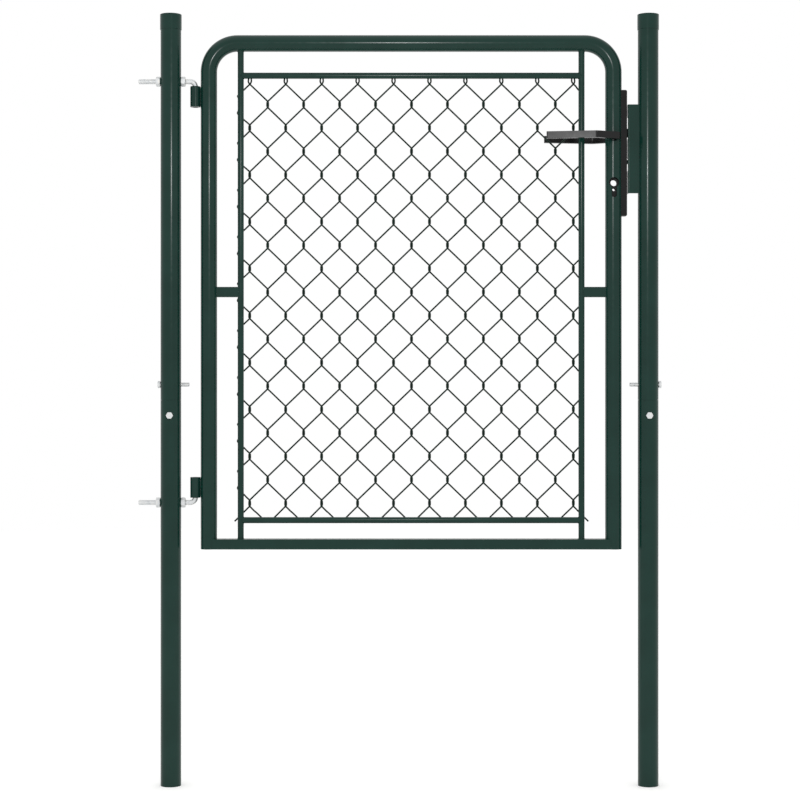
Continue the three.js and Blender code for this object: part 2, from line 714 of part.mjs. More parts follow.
function makeBolts() {
  // The latch is bevelled at the front, so it rides over the strike as the leaf closes.
  const nose = new THREE.Shape();
  nose.moveTo(LATCH.shoulder, -LATCH.halfY);
  nose.lineTo(LATCH.front - LATCH_BEVEL, -LATCH.halfY);
  nose.lineTo(LATCH.front, LATCH.halfY - LATCH.flatNose);
  nose.lineTo(LATCH.front, LATCH.halfY);
  nose.lineTo(LATCH.shoulder, LATCH.halfY);
  nose.closePath();
  const y = RISER.halfY;
  const arm = LATCH_ARM;
  const latch = join(
    raised(nose, LATCH.bottom, LATCH.top),
    box(RISER.back, LATCH.shoulder + 1, -y, y, RISER.bottom, LATCH.top),
    box(RISER.back, RISER.front, -y, y, RISER.bottom, RISER.top),
    box(arm.back, RISER.back + 1, -y, y, arm.bottom, arm.top),
    box(arm.back, arm.back + arm.hook, -y, y, arm.hookBottom, arm.top),
  );
  piece("latch_bolt", latch, blackCoat());

  const { back, front, halfY, bottom, top } = DEADBOLT;
  const deadbolt = join(
    box(back, front, -halfY, halfY, bottom, top),
    box(back, back + TALON.width, -halfY, halfY, TALON.bottom, bottom + 1),
  );
  piece("deadbolt", deadbolt, blackCoat());

  const from = CASE.back + CASE.wall + GAP + LATCH_SPRING.wireR;
  const to = RISER.back - GAP - LATCH_SPRING.wireR;
  const steps = LATCH_SPRING.turns * LATCH_SPRING.sides;
  const coil = Array.from({ length: steps + 1 }, (_, i) => {
    const angle = (2 * Math.PI * i) / LATCH_SPRING.sides;
    return new THREE.Vector3(
      from + ((to - from) * i) / steps,
      LATCH_SPRING.r * Math.cos(angle),
      LATCH_SPRING.z + LATCH_SPRING.r * Math.sin(angle),
    );
  });
  piece("latch_spring", swept(coil, LATCH_SPRING.wireR, 4), zincPlate());
}

function strikeLength(out, from, to) {
  const { x, wall, front, back } = STRIKE;
  const outline = new THREE.Shape();
  outline.moveTo(x, front);
  outline.lineTo(POST_X.right, front);
  outline.lineTo(POST_X.right, front + wall);
  outline.lineTo(x + wall, front + wall);
  outline.lineTo(x + wall, STRIKE_LIP.start);
  outline.lineTo(x + wall + out, back);
  outline.lineTo(x + out, back);
  outline.lineTo(x, STRIKE_LIP.start);
  outline.closePath();
  return raised(outline, from, to);
}

function makeStrike() {
  const { x, wall, bottom, top } = STRIKE;
  const y = STRIKE_WINDOW_HALF_Y;
  const inside = x + wall + STRIKE_LIP.out + PAST;
  const windows = [LATCH_WINDOW, DEADBOLT_WINDOW].map((opening) =>
    box(x - PAST, inside, -y, y, opening.bottom, opening.top),
  );
  const bends = [DEADBOLT_WINDOW, LATCH_WINDOW].flatMap((opening) => [
    opening.bottom - STRIKE_LIP.beyond,
    opening.top + STRIKE_LIP.beyond,
  ]);
  const ends = [bottom, ...bends, top];
  const lengths = ends.slice(1).map((end, i) => strikeLength(i % 2 ? STRIKE_LIP.out : 0, ends[i], end));
  const place = { x: POST_X.right, y: 0, z: 0 };
  const post = bar("z", POST_R + GAP, bottom - PAST, top + PAST, place, SIDES.post);
  const strike = cut(join(...lengths), post, ...windows);
  piece("strike_plate", strike, greenCoat());
}

makePost("left");
makePost("right");
makeHinge("upper");
makeHinge("lower");
makeLeafFrame();
makeMesh();
makeLockCase();
makeFaceplate();
makeLevers();
makeBolts();
makeStrike();

export default gate;
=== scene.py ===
"""Fine surfaces, materials, camera and light for a single chain-link garden gate."""

import json
import math

import bmesh
import bpy
from mathutils import Matrix, Vector


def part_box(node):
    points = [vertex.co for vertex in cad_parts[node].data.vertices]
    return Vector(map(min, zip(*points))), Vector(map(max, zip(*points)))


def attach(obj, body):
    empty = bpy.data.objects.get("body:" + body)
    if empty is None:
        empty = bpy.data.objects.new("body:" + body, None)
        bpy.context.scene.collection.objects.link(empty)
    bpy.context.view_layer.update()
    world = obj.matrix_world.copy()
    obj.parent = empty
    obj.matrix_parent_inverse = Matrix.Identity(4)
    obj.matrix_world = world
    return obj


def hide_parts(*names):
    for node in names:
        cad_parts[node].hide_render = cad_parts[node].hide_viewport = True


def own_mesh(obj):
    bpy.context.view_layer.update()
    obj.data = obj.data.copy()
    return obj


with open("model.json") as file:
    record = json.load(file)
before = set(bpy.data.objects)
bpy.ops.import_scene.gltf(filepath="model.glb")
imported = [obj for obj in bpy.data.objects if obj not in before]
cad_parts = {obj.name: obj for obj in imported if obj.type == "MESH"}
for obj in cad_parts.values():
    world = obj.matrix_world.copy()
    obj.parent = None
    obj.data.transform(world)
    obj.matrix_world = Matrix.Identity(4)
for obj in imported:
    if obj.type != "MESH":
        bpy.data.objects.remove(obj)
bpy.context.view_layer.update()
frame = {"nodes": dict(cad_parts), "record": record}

MM = 0.001

# Sizes that the frame's boxes don't give, in metres.
POST_WALL = 1.5 * MM
STILE_WALL = 1.5 * MM
CORNER_R = 56 * MM
TOUCH = 0.02 * MM  # how far a piece's end stands clear of, or runs into, what it is welded to
CLEARANCE = 0.3 * MM  # between a bolt or spindle and its hole
M8 = {"pitch": 1.25 * MM, "flats": 12.09 * MM, "shank": 8 * MM, "head": 5.3 * MM, "thread": 30 * MM}
M10 = {"pitch": 1.5 * MM, "flats": 17 * MM, "shank": 10 * MM, "bend": 10 * MM}
THREAD_DEPTH = 0.22  # of the pitch, much less than a cut thread has
WIRE_R = 1.62 * MM
BAR_WELD_R = 0.8 * MM

MERGE = 1e-7  # points closer than this are one
SHARP_EDGE = math.radians(35)  # a sharper edge isn't shaded smooth

# How many sides or steps round shapes have.
ROUND = 64
ROUND_BAR = 48
SMALL_ROUND = 32
WIRE_SIDES = 12  # of a mesh wire and of a bead of weld
THREAD_STEPS = 6  # along one turn of a thread

BODY_OF = {
    node: body
    for body, nodes in frame["record"]["behaviour"]["bodies"].items()
    for node in nodes
}


class Place:
    """The box of a CAD node."""

    def __init__(self, node):
        self.low, self.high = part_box(node)
        self.mid = (self.low + self.high) / 2
        self.size = self.high - self.low


# -------- mesh tools
def add_object(name, vertices, faces):
    mesh = bpy.data.meshes.new(name)
    mesh.from_pydata([tuple(v) for v in vertices], [], faces)
    obj = bpy.data.objects.new(name, mesh)
    bpy.context.scene.collection.objects.link(obj)
    clean(obj)
    return obj


def clean(obj):
    """Merges doubled points and turns every face outwards."""
    work = bmesh.new()
    work.from_mesh(obj.data)
    bmesh.ops.remove_doubles(work, verts=work.verts, dist=MERGE)
    bmesh.ops.recalc_face_normals(work, faces=work.faces)
    work.to_mesh(obj.data)
    work.free()


def apply_modifiers(obj):
    bpy.context.view_layer.update()
    seen = obj.evaluated_get(bpy.context.evaluated_depsgraph_get())
    old = obj.data
    obj.data = bpy.data.meshes.new_from_object(seen)
    obj.modifiers.clear()
    bpy.data.meshes.remove(old)


def combine(obj, others, operation):
    for other in others:
        modifier = obj.modifiers.new(operation, "BOOLEAN")
        modifier.operation = operation
        modifier.object = other
        modifier.solver = "EXACT"
        apply_modifiers(obj)
        bpy.data.objects.remove(other)
    return obj


def cut(obj, *tools):
    return combine(obj, tools, "DIFFERENCE")


def common(obj, *tools):
    return combine(obj, tools, "INTERSECT")


def join(obj, *others):
    return combine(obj, others, "UNION")


def bevel(obj, width, segments=2, angle=30):
    modifier = obj.modifiers.new("bevel", "BEVEL")
    modifier.width = width
    modifier.segments = segments
    modifier.limit_method = "ANGLE"
    modifier.angle_limit = math.radians(angle)
    modifier.use_clamp_overlap = True
    apply_modifiers(obj)
    return obj


AXES = {
    "x": Matrix.Rotation(math.pi / 2, 4, "Y"),
    "y": Matrix.Rotation(-math.pi / 2, 4, "X"),
    "z": Matrix.Identity(4),
}


def revolve(name, profile, axis="z", origin=(0, 0, 0), sides=ROUND):
    """Turns a profile of (radius, height) points, a closed ring of them, about an axis."""
    turn = Matrix.Translation(origin) @ AXES[axis]
    vertices = []
    for radius, height in profile:
        for i in range(sides):
            angle = 2 * math.pi * i / sides
            vertices.append(turn @ Vector((radius * math.cos(angle), radius * math.sin(angle), height)))
    faces = []
    count = len(profile)
    for row in range(count):
        following = (row + 1) % count
        if profile[row][0] == 0 and profile[following][0] == 0:
            continue
        for i in range(sides):
            j = (i + 1) % sides
            faces.append((row * sides + i, row * sides + j, following * sides + j, following * sides + i))
    return add_object(name, vertices, faces)


def rod_profile(radius, start, end, chamfer=0.0):
    """A solid round bar's profile, with a chamfer at both ends."""
    return [
        (0, start),
        (radius - chamfer, start),
        (radius, start + chamfer),
        (radius, end - chamfer),
        (radius - chamfer, end),
        (0, end),
    ]


def tube_profile(outer, inner, start, end, chamfer):
    return [
        (inner, start),
        (outer - chamfer, start),
        (outer, start + chamfer),
        (outer, end - chamfer),
        (outer - chamfer, end),
        (inner, end),
    ]


def rings_along(route, radius, sides):
    """Rings of points around a route. The radius is a number, or a function of run and angle."""
    last = len(route) - 1
    tangents = []
    for i in range(last + 1):
        before = route[max(i - 1, 0)]
        after = route[min(i + 1, last)]
        tangents.append((after - before).normalized())
    normal = tangents[0].orthogonal().normalized()
    rings = []
    run = 0.0
    for i, point in enumerate(route):
        if i > 0:
            normal = tangents[i - 1].rotation_difference(tangents[i]) @ normal
            run += (point - route[i - 1]).length
        side = tangents[i].cross(normal)
        ring = []
        for j in range(sides):
            angle = 2 * math.pi * j / sides
            r = radius(run, angle) if callable(radius) else radius
            ring.append(point + normal * (r * math.cos(angle)) + side * (r * math.sin(angle)))
        rings.append(ring)
    return rings


def side_faces(rings, sides, offset=0):
    faces = []
    for i in range(len(rings) - 1):
        for j in range(sides):
            k = (j + 1) % sides
            low = offset + i * sides
            high = low + sides
            faces.append((low + j, low + k, high + k, high + j))
    return faces


def loft(name, rings):
    """A solid through a row of rings with the same number of points, with flat ends."""
    sides = len(rings[0])
    faces = side_faces(rings, sides)
    faces.append(tuple(range(sides)))
    end = (len(rings) - 1) * sides
    faces.append(tuple(range(end, end + sides)))
    return add_object(name, [p for ring in rings for p in ring], faces)


def sweep(name, route, radius, sides=SMALL_ROUND):
    """A solid round bar along a route, with flat ends."""
    return loft(name, rings_along(route, radius, sides))


def hollow_sweep(name, route, outer, inner, sides=ROUND):
    """A tube along a route, open at both ends."""
    outside = rings_along(route, outer, sides)
    inside = rings_along(route, inner, sides)
    faces = side_faces(outside, sides)
    start = len(outside) * sides
    faces += side_faces(inside, sides, start)
    for ring in (0, len(outside) - 1):
        for j in range(sides):
            k = (j + 1) % sides
            a = ring * sides
            faces.append((a + j, a + k, start + a + k, start + a + j))
    return add_object(name, [p for ring in outside + inside for p in ring], faces)


def raised(name, outline, low, high, axis):
    """A flat outline raised along an axis: (y, z) points along x, (x, z) along y or (x, y) along z."""
    i = "xyz".index(axis)

    def at(point, level):
        place = list(point)
        place.insert(i, level)
        return Vector(place)

    count = len(outline)
    vertices = [at(p, low) for p in outline] + [at(p, high) for p in outline]
    faces = [tuple(range(count)), tuple(range(count, 2 * count))]
    for a in range(count):
        b = (a + 1) % count
        faces.append((a, b, count + b, count + a))
    return add_object(name, vertices, faces)


def rectangle(low, high):
    """The corners of a rectangle, as (u, v) points."""
    return [(low[0], low[1]), (high[0], low[1]), (high[0], high[1]), (low[0], high[1])]


def block(name, low, high):
    return raised(name, rectangle(low, high), low[2], high[2], "z")


def arc(centre, radius, start, end, steps):
    """Points (u, v) on an arc; the angles are in degrees."""
    points = []
    for i in range(steps + 1):
        angle = math.radians(start + (end - start) * i / steps)
        points.append((centre[0] + radius * math.cos(angle), centre[1] + radius * math.sin(angle)))
    return points


def rounded(corners, radius, steps=5):
    """A closed (u, v) outline or an open route in space, with its corners rounded.

    The radius is one number, or a list with one for each corner.
    """
    closed = len(corners[0]) == 2
    radii = radius if isinstance(radius, list) else [radius] * len(corners)
    most = 0.45  # of a side, so that neighbouring corners stay apart
    points = []
    count = len(corners)
    for i, corner in enumerate(corners):
        corner = Vector(corner)
        if not closed and i in (0, count - 1):
            points.append(corner)
            continue
        before = Vector(corners[i - 1])
        after = Vector(corners[(i + 1) % count])
        to_before = before - corner
        to_after = after - corner
        reach = min(radii[i], to_before.length * most, to_after.length * most)
        start = corner + to_before.normalized() * reach
        end = corner + to_after.normalized() * reach
        for step in range(steps + 1):
            t = step / steps
            points.append(start.lerp(corner, t).lerp(corner.lerp(end, t), t))
    return points


def densify(route, step):
    """The same route with a point at least every step."""
    points = [route[0]]
    for start, end in zip(route, route[1:]):
        parts = max(1, math.ceil((end - start).length / step))
        points += [start.lerp(end, (i + 1) / parts) for i in range(parts)]
    return points


def length_of(route):
    return sum((b - a).length for a, b in zip(route, route[1:]))


# -------- materials
def linear(colour):
    """A colour given as a hex number, as linear light."""
    channels = [(colour >> shift) & 255 for shift in (16, 8, 0)]
    light = [((c / 255 + 0.055) / 1.055) ** 2.4 if c > 10 else c / 255 / 12.92 for c in channels]
    return (*light, 1.0)


class Nodes:
    """A short way to build a material's node tree on object coordinates."""

    def __init__(self, name):
        self.material = bpy.data.materials.new(name)
        self.material.use_nodes = True
        self.tree = self.material.node_tree
        self.shader = self.tree.nodes["Principled BSDF"]
        self.place = self.add("ShaderNodeTexCoord").outputs["Object"]

    def add(self, kind, **settings):
        node = self.tree.nodes.new(kind)
        for key, value in settings.items():
            if key in node.inputs:
                node.inputs[key].default_value = value
            else:
                setattr(node, key, value)
        return node

    def link(self, source, target):
        self.tree.links.new(source, target)

    def noise(self, size, detail, stretch=(1, 1, 1)):
        """Noise with features of a size in metres."""
        scale = self.add("ShaderNodeMapping")
        scale.inputs["Scale"].default_value = [s / size for s in stretch]
        self.link(self.place, scale.inputs["Vector"])
        texture = self.add("ShaderNodeTexNoise", Detail=detail, Scale=1.0)
        self.link(scale.outputs["Vector"], texture.inputs["Vector"])
        return texture.outputs["Fac"]

    def spread(self, source, low, high, start=0.3, end=0.7):
        ramp = self.add("ShaderNodeMapRange")
        values = {"From Min": start, "From Max": end, "To Min": low, "To Max": high}
        for key, value in values.items():
            ramp.inputs[key].default_value = value
        self.link(source, ramp.inputs["Value"])
        return ramp.outputs["Result"]

    def colours(self, source, stops):
        ramp = self.add("ShaderNodeValToRGB")
        elements = ramp.color_ramp.elements
        while len(elements) < len(stops):
            elements.new(0.5)
        for element, (position, colour) in zip(elements, stops):
            element.position = position
            element.color = linear(colour)
        self.link(source, ramp.inputs["Fac"])
        return ramp.outputs["Color"]

    def bump(self, source, height, after=None):
        node = self.add("ShaderNodeBump", Strength=1.0, Distance=height)
        self.link(source, node.inputs["Height"])
        if after is not None:
            self.link(after, node.inputs["Normal"])
        return node.outputs["Normal"]

    def socket(self, name, value):
        if isinstance(value, (int, float, tuple)):
            self.shader.inputs[name].default_value = value
        else:
            self.link(value, self.shader.inputs[name])


def powder_coat(name, dark, light, roughness, peel, shine, vary=0.04):
    """Sprayed and baked paint: faint tone changes, orange peel and fine dust in the gloss."""
    nodes = Nodes(name)
    tone = nodes.noise(size=60 * MM, detail=4.0)
    nodes.socket("Base Color", nodes.colours(tone, [(0.35, dark), (0.65, light)]))
    gloss = nodes.noise(size=9 * MM, detail=5.0)
    nodes.socket("Roughness", nodes.spread(gloss, roughness - vary, roughness + vary))
    peeled = nodes.bump(nodes.noise(size=1.6 * MM, detail=2.0), peel)
    waves = nodes.bump(nodes.noise(size=7 * MM, detail=1.0), peel * 2.0, after=peeled)
    nodes.socket("Normal", waves)
    nodes.socket("Specular IOR Level", shine)
    return nodes.material


def zinc_plate():
    """Bright zinc plating: cloudy crystals, slight tint and hair-thin draw marks."""
    nodes = Nodes("zinc_plate")
    cloud = nodes.noise(size=6 * MM, detail=5.0)
    stops = [(0.3, 0xC3C6C8), (0.5, 0xD1D3D4), (0.72, 0xDBDAD6)]
    nodes.socket("Base Color", nodes.colours(cloud, stops))
    nodes.socket("Metallic", 0.8)
    gloss = nodes.noise(size=2.2 * MM, detail=4.0)
    nodes.socket("Roughness", nodes.spread(gloss, 0.3, 0.5))
    drawn = nodes.noise(size=0.6 * MM, detail=3.0, stretch=(0.1, 1, 1))
    nodes.socket("Normal", nodes.bump(drawn, 0.02 * MM))
    return nodes.material


def cut_steel():
    """The bare core of a wire where it is cut."""
    nodes = Nodes("cut_steel")
    grain = nodes.noise(size=0.5 * MM, detail=4.0)
    nodes.socket("Base Color", nodes.colours(grain, [(0.35, 0x2E2C2A), (0.7, 0x55534F)]))
    nodes.socket("Metallic", 1.0)
    nodes.socket("Roughness", nodes.spread(grain, 0.4, 0.6))
    return nodes.material


GREEN = powder_coat("green_coat", 0x082A23, 0x0D2F28, 0.19, 0.0025 * MM, 0.23)
WIRE = powder_coat("wire_coat", 0x0A1B14, 0x0F231B, 0.32, 0.003 * MM, 0.12)
BLACK = powder_coat("black_coat", 0x070708, 0x0B0B0C, 0.28, 0.006 * MM, 0.2)
LEVER = powder_coat("lever_coat", 0x050506, 0x080809, 0.29, 0.004 * MM, 0.3, 0.012)
ZINC = zinc_plate()
CUT = cut_steel()


# -------- pieces
def finish(obj, material):
    """Gives a piece its material and smooth shading that keeps its flat faces flat."""
    obj.data.materials.clear()
    obj.data.materials.append(material)
    obj.data.shade_smooth()
    obj.data.set_sharp_from_angle(angle=SHARP_EDGE)
    modifier = obj.modifiers.new("flat_faces", "WEIGHTED_NORMAL")
    modifier.keep_sharp = True
    apply_modifiers(obj)
    return obj


SLOTS = {"green_coat": GREEN, "wire_coat": WIRE, "black_coat": BLACK, "zinc": ZINC}


def stand_for(node, obj, slot):
    """The fine piece for a CAD node: it rides with the node's body and replaces it."""
    finish(obj, SLOTS[slot])
    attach(obj, BODY_OF[node])
    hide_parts(node)


def add_on(obj, body, slot):
    """A detail that has no CAD node of its own."""
    finish(obj, SLOTS[slot])
    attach(obj, body)


def weld(name, route, body, radius, closed=False):
    """A bead of weld: a rippled ridge along a route, thin at its ends unless they meet."""
    points = densify(route, 0.45 * MM)
    length = length_of(points)
    ripple = 1.7 * MM
    ripple_share = 0.1
    taper = 1.5 * radius
    thinnest = 0.04

    def bead(run, angle):
        full = radius * (1 + ripple_share * math.sin(2 * math.pi * run / ripple))
        if closed:
            return full
        from_end = min(run, length - run) / taper
        return full * math.sqrt(max(thinnest, min(1.0, from_end)))

    add_on(sweep(name, points, bead, WIRE_SIDES), body, "green_coat")


def thread(radius, pitch, start, end):
    """A radius function: plain outside start to end, threaded between them."""
    depth = THREAD_DEPTH * pitch

    def at(run, angle):
        fade = min(1.0, max(0.0, (run - start) / pitch), max(0.0, (end - run) / pitch))
        phase = (run / pitch - angle / (2 * math.pi)) % 1
        return radius - depth * fade * (1 - abs(2 * phase - 1))

    return at


def hexagon(name, flats, start, end, axis, origin):
    """A hexagonal prism with both rims chamfered at 30 degrees."""
    corner = flats / math.sqrt(3)
    turn = Matrix.Translation(origin) @ AXES[axis]
    six_corners = arc((0, 0), corner, 0, 300, 5)
    prism = raised(name, six_corners, start, end, "z")
    prism.data.transform(turn)
    rim = 0.475 * flats
    far = corner + MM
    slope = (far - rim) * math.tan(math.radians(30))
    drum = [(0, start), (rim, start), (far, start + slope), (far, end - slope), (rim, end), (0, end)]
    return common(prism, revolve(name + "_drum", drum, axis, origin))


def make_post(side):
    lower = Place(side + "_post_lower")
    upper = Place(side + "_post_upper")
    sleeve = Place(side + "_post_sleeve")
    side_screw = Place(side + "_post_side_screw")
    front_screw = Place(side + "_post_front_screw")
    radius = lower.size.x / 2
    centre = Vector((lower.mid.x, 0, 0))
    outward = -1 if side == "left" else 1

    def drill(axis, z, bolt):
        """A tool that cuts the bolt's hole right through the post."""
        profile = rod_profile(bolt["shank"] / 2 + CLEARANCE, -3 * radius, 3 * radius)
        return revolve("drill", profile, axis, (centre.x, 0, z), SMALL_ROUND)

    halves = {
        "lower": (0.0, lower.high.z, front_screw, "y"),
        "upper": (upper.low.z, upper.high.z, side_screw, "x"),
    }
    for half, (bottom, top, screw, axis) in halves.items():
        profile = tube_profile(radius, radius - POST_WALL, bottom, top, chamfer=0.06 * MM)
        shell = revolve(f"{side}_post_{half}_tube", profile, "z", centre)
        holes = [drill(axis, screw.mid.z, M8)]
        if side == "left":
            holes.append(drill("x", rod_height(half), M10))
        stand_for(f"{side}_post_{half}", cut(shell, *holes), "green_coat")

    outer = sleeve.size.x / 2
    profile = tube_profile(outer, outer - POST_WALL, sleeve.low.z, sleeve.high.z, chamfer=0.3 * MM)
    liner = revolve(side + "_post_sleeve_tube", profile, "z", centre)
    holes = [drill("y", front_screw.mid.z, M8), drill("x", side_screw.mid.z, M8)]
    stand_for(side + "_post_sleeve", cut(liner, *holes), "green_coat")

    make_cap(side, centre, radius)
    make_post_screw(side + "_post_side_screw", side_screw, "x", outward)
    make_post_screw(side + "_post_front_screw", front_screw, "y", -1)


def make_cap(side, centre, post_radius):
    """A pressed cap: a rolled rim, a skirt, a rounded shoulder and a low crown."""
    cap = Place(side + "_post_cap")
    outer = cap.size.x / 2
    bore = post_radius + 0.1 * MM
    top = cap.high.z
    rim = 0.4 * MM
    shoulder = 0.5 * MM
    crown = 0.1 * MM
    roof = 1.6 * MM
    flat = outer - shoulder
    dome = [(0.7, 0.4), (0.35, 0.1), (0, 0)]  # shares of the flat radius and of the crown's drop
    profile = [(bore, cap.low.z), (outer - rim, cap.low.z), (outer, cap.low.z + rim)]
    profile += arc((flat, top - crown - shoulder), shoulder, 0, 80, 8)
    profile += [(flat * out, top - crown * drop) for out, drop in dome]
    profile += [(0, top - roof), (bore, top - roof - crown)]
    piece = revolve(side + "_post_cap_shell", profile, "z", centre)
    stand_for(side + "_post_cap", piece, "green_coat")


def make_post_screw(node, place, axis, outward):
    """A hexagon screw, its threaded end standing out of the far side of the post."""
    i = "xyz".index(axis)
    head_end = place.high[i] if outward > 0 else place.low[i]
    shank_end = place.low[i] if outward > 0 else place.high[i]
    head_base = head_end - outward * M8["head"]
    origin = place.mid.copy()
    origin[i] = 0
    low, high = sorted((head_base, head_end))
    head = hexagon(node + "_body", M8["flats"], low, high, axis, origin)
    bevel(head, 0.15 * MM)
    dish_radius = 3.6 * MM
    dish_depth = 0.35 * MM
    dish = rod_profile(dish_radius, head_end - dish_depth, head_end + dish_depth, chamfer=0.2 * MM)
    cut(head, revolve("dish", dish, axis, origin))

    inside_head = M8["head"] / 2
    length = abs(head_base - shank_end) + inside_head
    start = origin.copy()
    start[i] = head_base + outward * inside_head
    end = origin.copy()
    end[i] = shank_end
    route = densify([start, end], M8["pitch"] / THREAD_STEPS)
    tip = 0.8 * MM
    threaded = thread(M8["shank"] / 2, M8["pitch"], length - M8["thread"], length + M8["thread"])

    def radius(run, angle):
        return threaded(run, angle) - max(0.0, tip - (length - run))

    join(head, sweep(node + "_shank", route, radius, sides=24))
    stand_for(node, head, "zinc")


# -------- hinges
def rod_height(level):
    """The height of a hinge bolt's straight rod. The upper hook points down and the lower one up."""
    bolt = Place(level + "_hinge_bolt")
    rod = M10["shank"] / 2
    return bolt.high.z - rod if level == "upper" else bolt.low.z + rod


def make_hinge(level):
    """A hooked bolt through the hinge post, its nuts, and the leaf's barrel that turns on its hook."""
    bolt = Place(level + "_hinge_bolt")
    rod = M10["shank"] / 2
    z = rod_height(level)
    towards = -1 if level == "upper" else 1
    pin_x = Place(level + "_hinge_barrel").mid.x
    tip_z = bolt.low.z if level == "upper" else bolt.high.z

    bend_centre = (pin_x - M10["bend"], z + towards * M10["bend"])
    bend = [Vector((u, 0, v)) for u, v in arc(bend_centre, M10["bend"], -90 * towards, 0, 16)]
    straight = [Vector((bolt.low.x, 0, z)), bend[0]]
    route = densify(straight, M10["pitch"] / THREAD_STEPS)[:-1] + bend
    route += densify([bend[-1], Vector((pin_x, 0, tip_z))], 2 * MM)[1:]
    past_nut = 3 * MM
    thread_end = Place(level + "_hinge_nut_inner").high.x - bolt.low.x + past_nut
    length = length_of(route)
    threaded = thread(rod, M10["pitch"], -M10["pitch"], thread_end)
    tip = 0.9 * MM

    def radius(run, angle):
        nearest = min(run, length - run)
        return threaded(run, angle) - max(0.0, tip - nearest)

    stand_for(level + "_hinge_bolt", sweep(level + "_hook_bolt", route, radius, sides=28), "zinc")
    for where in ("outer", "inner"):
        make_hinge_nut(f"{level}_hinge_nut_{where}", z)
        make_collar(level, where, z)
    make_barrel(level, pin_x)


def make_hinge_nut(node, z):
    """A hexagon nut with a countersunk mouth at both ends of its bore."""
    place = Place(node)
    origin = (0, 0, z)
    nut = hexagon(node + "_hex", M10["flats"], place.low.x, place.high.x, "x", origin)
    bore_r = M10["shank"] / 2 - 0.1 * MM
    mouth_r = M10["shank"] / 2 + 1.5 * MM
    mouth_depth = 0.6 * MM
    beyond = MM
    bore = [
        (0, place.low.x - beyond),
        (mouth_r, place.low.x - beyond),
        (bore_r, place.low.x + mouth_depth),
        (bore_r, place.high.x - mouth_depth),
        (mouth_r, place.high.x + beyond),
        (0, place.high.x + beyond),
    ]
    cut(nut, revolve("bore", bore, "x", origin, SMALL_ROUND))
    stand_for(node, bevel(nut, 0.12 * MM), "zinc")


def make_barrel(level, pin_x):
    barrel = Place(level + "_hinge_barrel")
    outer = barrel.size.x / 2
    bore_r = M10["shank"] / 2 + 0.4 * MM
    profile = tube_profile(outer, bore_r, barrel.low.z, barrel.high.z, chamfer=0.5 * MM)
    sleeve = revolve(level + "_hinge_barrel_tube", profile, "z", (pin_x, 0, 0))
    stand_for(level + "_hinge_barrel", sleeve, "green_coat")
    weld_x = pin_x + outer + 0.1 * MM
    weld_y = 2.6 * MM
    inset = 3 * MM
    for where, sign in (("front", -1), ("back", 1)):
        ends = [Vector((weld_x, sign * weld_y, z)) for z in (barrel.low.z + inset, barrel.high.z - inset)]
        weld(f"{level}_barrel_weld_{where}", ends, "leaf", radius=1.5 * MM)


def make_collar(level, where, z):
    """The swollen rim of the bolt's hole in the post, pressed up against the nut."""
    post = Place("left_post_lower")
    sign = -1 if where == "outer" else 1
    rim = 8.6 * MM
    edge = 0.7 * MM
    hole = M10["shank"] / 2 + 0.15 * MM
    base = post.size.x / 2 - 2.6 * MM
    top = post.size.x / 2 + 1.3 * MM
    profile = [(hole, base), (rim, base), (rim, top - edge), (rim - edge, top), (hole, top)]
    profile = [(r, sign * h) for r, h in profile]
    collar = revolve(f"{level}_{where}_collar", profile, "x", (post.mid.x, 0, z), SMALL_ROUND)
    add_on(collar, "posts", "green_coat")


# -------- leaf
tube = Place("leaf_frame_tube")
rail = Place("leaf_bottom_rail")
bars = {name: Place("mesh_bar_" + name) for name in ("left", "right", "top", "bottom")}
STILE_R = tube.size.y / 2
BAR_R = bars["left"].size.y / 2
STILES = {"left": tube.low.x + STILE_R, "right": tube.high.x - STILE_R}
BARS_X = {"left": bars["left"].mid.x, "right": bars["right"].mid.x}
TOP_Z = tube.high.z - STILE_R
SIDES = {"left": 1, "right": -1}  # the way along x from each side towards the leaf's middle

# What the stile and the lock share.
SPINDLE_Z = Place("front_lever").mid.z
SPINDLE_HOLE_R = 9 * MM
SCREW_R = 2 * MM
CYLINDER_Z = Place("lock_case").low.z + 40 * MM


def stile_tool(side, extra=TOUCH):
    below = 10 * MM
    profile = rod_profile(STILE_R + extra, tube.low.z - below, TOP_Z)
    return revolve("stile_tool", profile, "z", (STILES[side], 0, 0))


def bar_tool(side):
    profile = rod_profile(BAR_R - TOUCH, tube.low.z, TOP_Z)
    return revolve("bar_tool", profile, "z", (BARS_X[side], 0, 0))


def make_arch():
    """The bent tube, with its openings for the lock."""
    springing = TOP_Z - CORNER_R
    bends = []
    for side, start, end in (("left", 180, 90), ("right", 90, 0)):
        centre = (STILES[side] + SIDES[side] * CORNER_R, springing)
        bends += [Vector((u, 0, v)) for u, v in arc(centre, CORNER_R, start, end, 24)]
    ends = [Vector((STILES[side], 0, tube.low.z)) for side in ("left", "right")]
    route = [ends[0], *bends, ends[1]]
    arch = hollow_sweep("leaf_arch", route, STILE_R, STILE_R - STILE_WALL)

    case = Place("lock_case")
    x = STILES["right"]
    depth = STILE_R + 4 * MM
    half = case.size.y / 2 + MM
    over = 3 * MM
    slot = block("slot", (x, -half, case.low.z - over), (x + depth, half, case.high.z + over))
    spindle = rod_profile(SPINDLE_HOLE_R, -depth, depth)
    tools = [
        slot,
        revolve("spindle_hole", spindle, "y", (x, 0, SPINDLE_Z), ROUND_BAR),
        raised("cylinder_hole", cylinder_outline(x), -depth, depth, "y"),
    ]
    screw_hole = rod_profile(SCREW_R + CLEARANCE, x, x + depth)
    for end in ("bottom", "top"):
        z = Place("faceplate_screw_" + end).mid.z
        tools.append(revolve("screw_hole", screw_hole, "x", (0, 0, z), sides=24))
    cut(arch, *tools)
    bevel(arch, 0.25 * MM, angle=50)
    stand_for("leaf_frame_tube", arch, "green_coat")


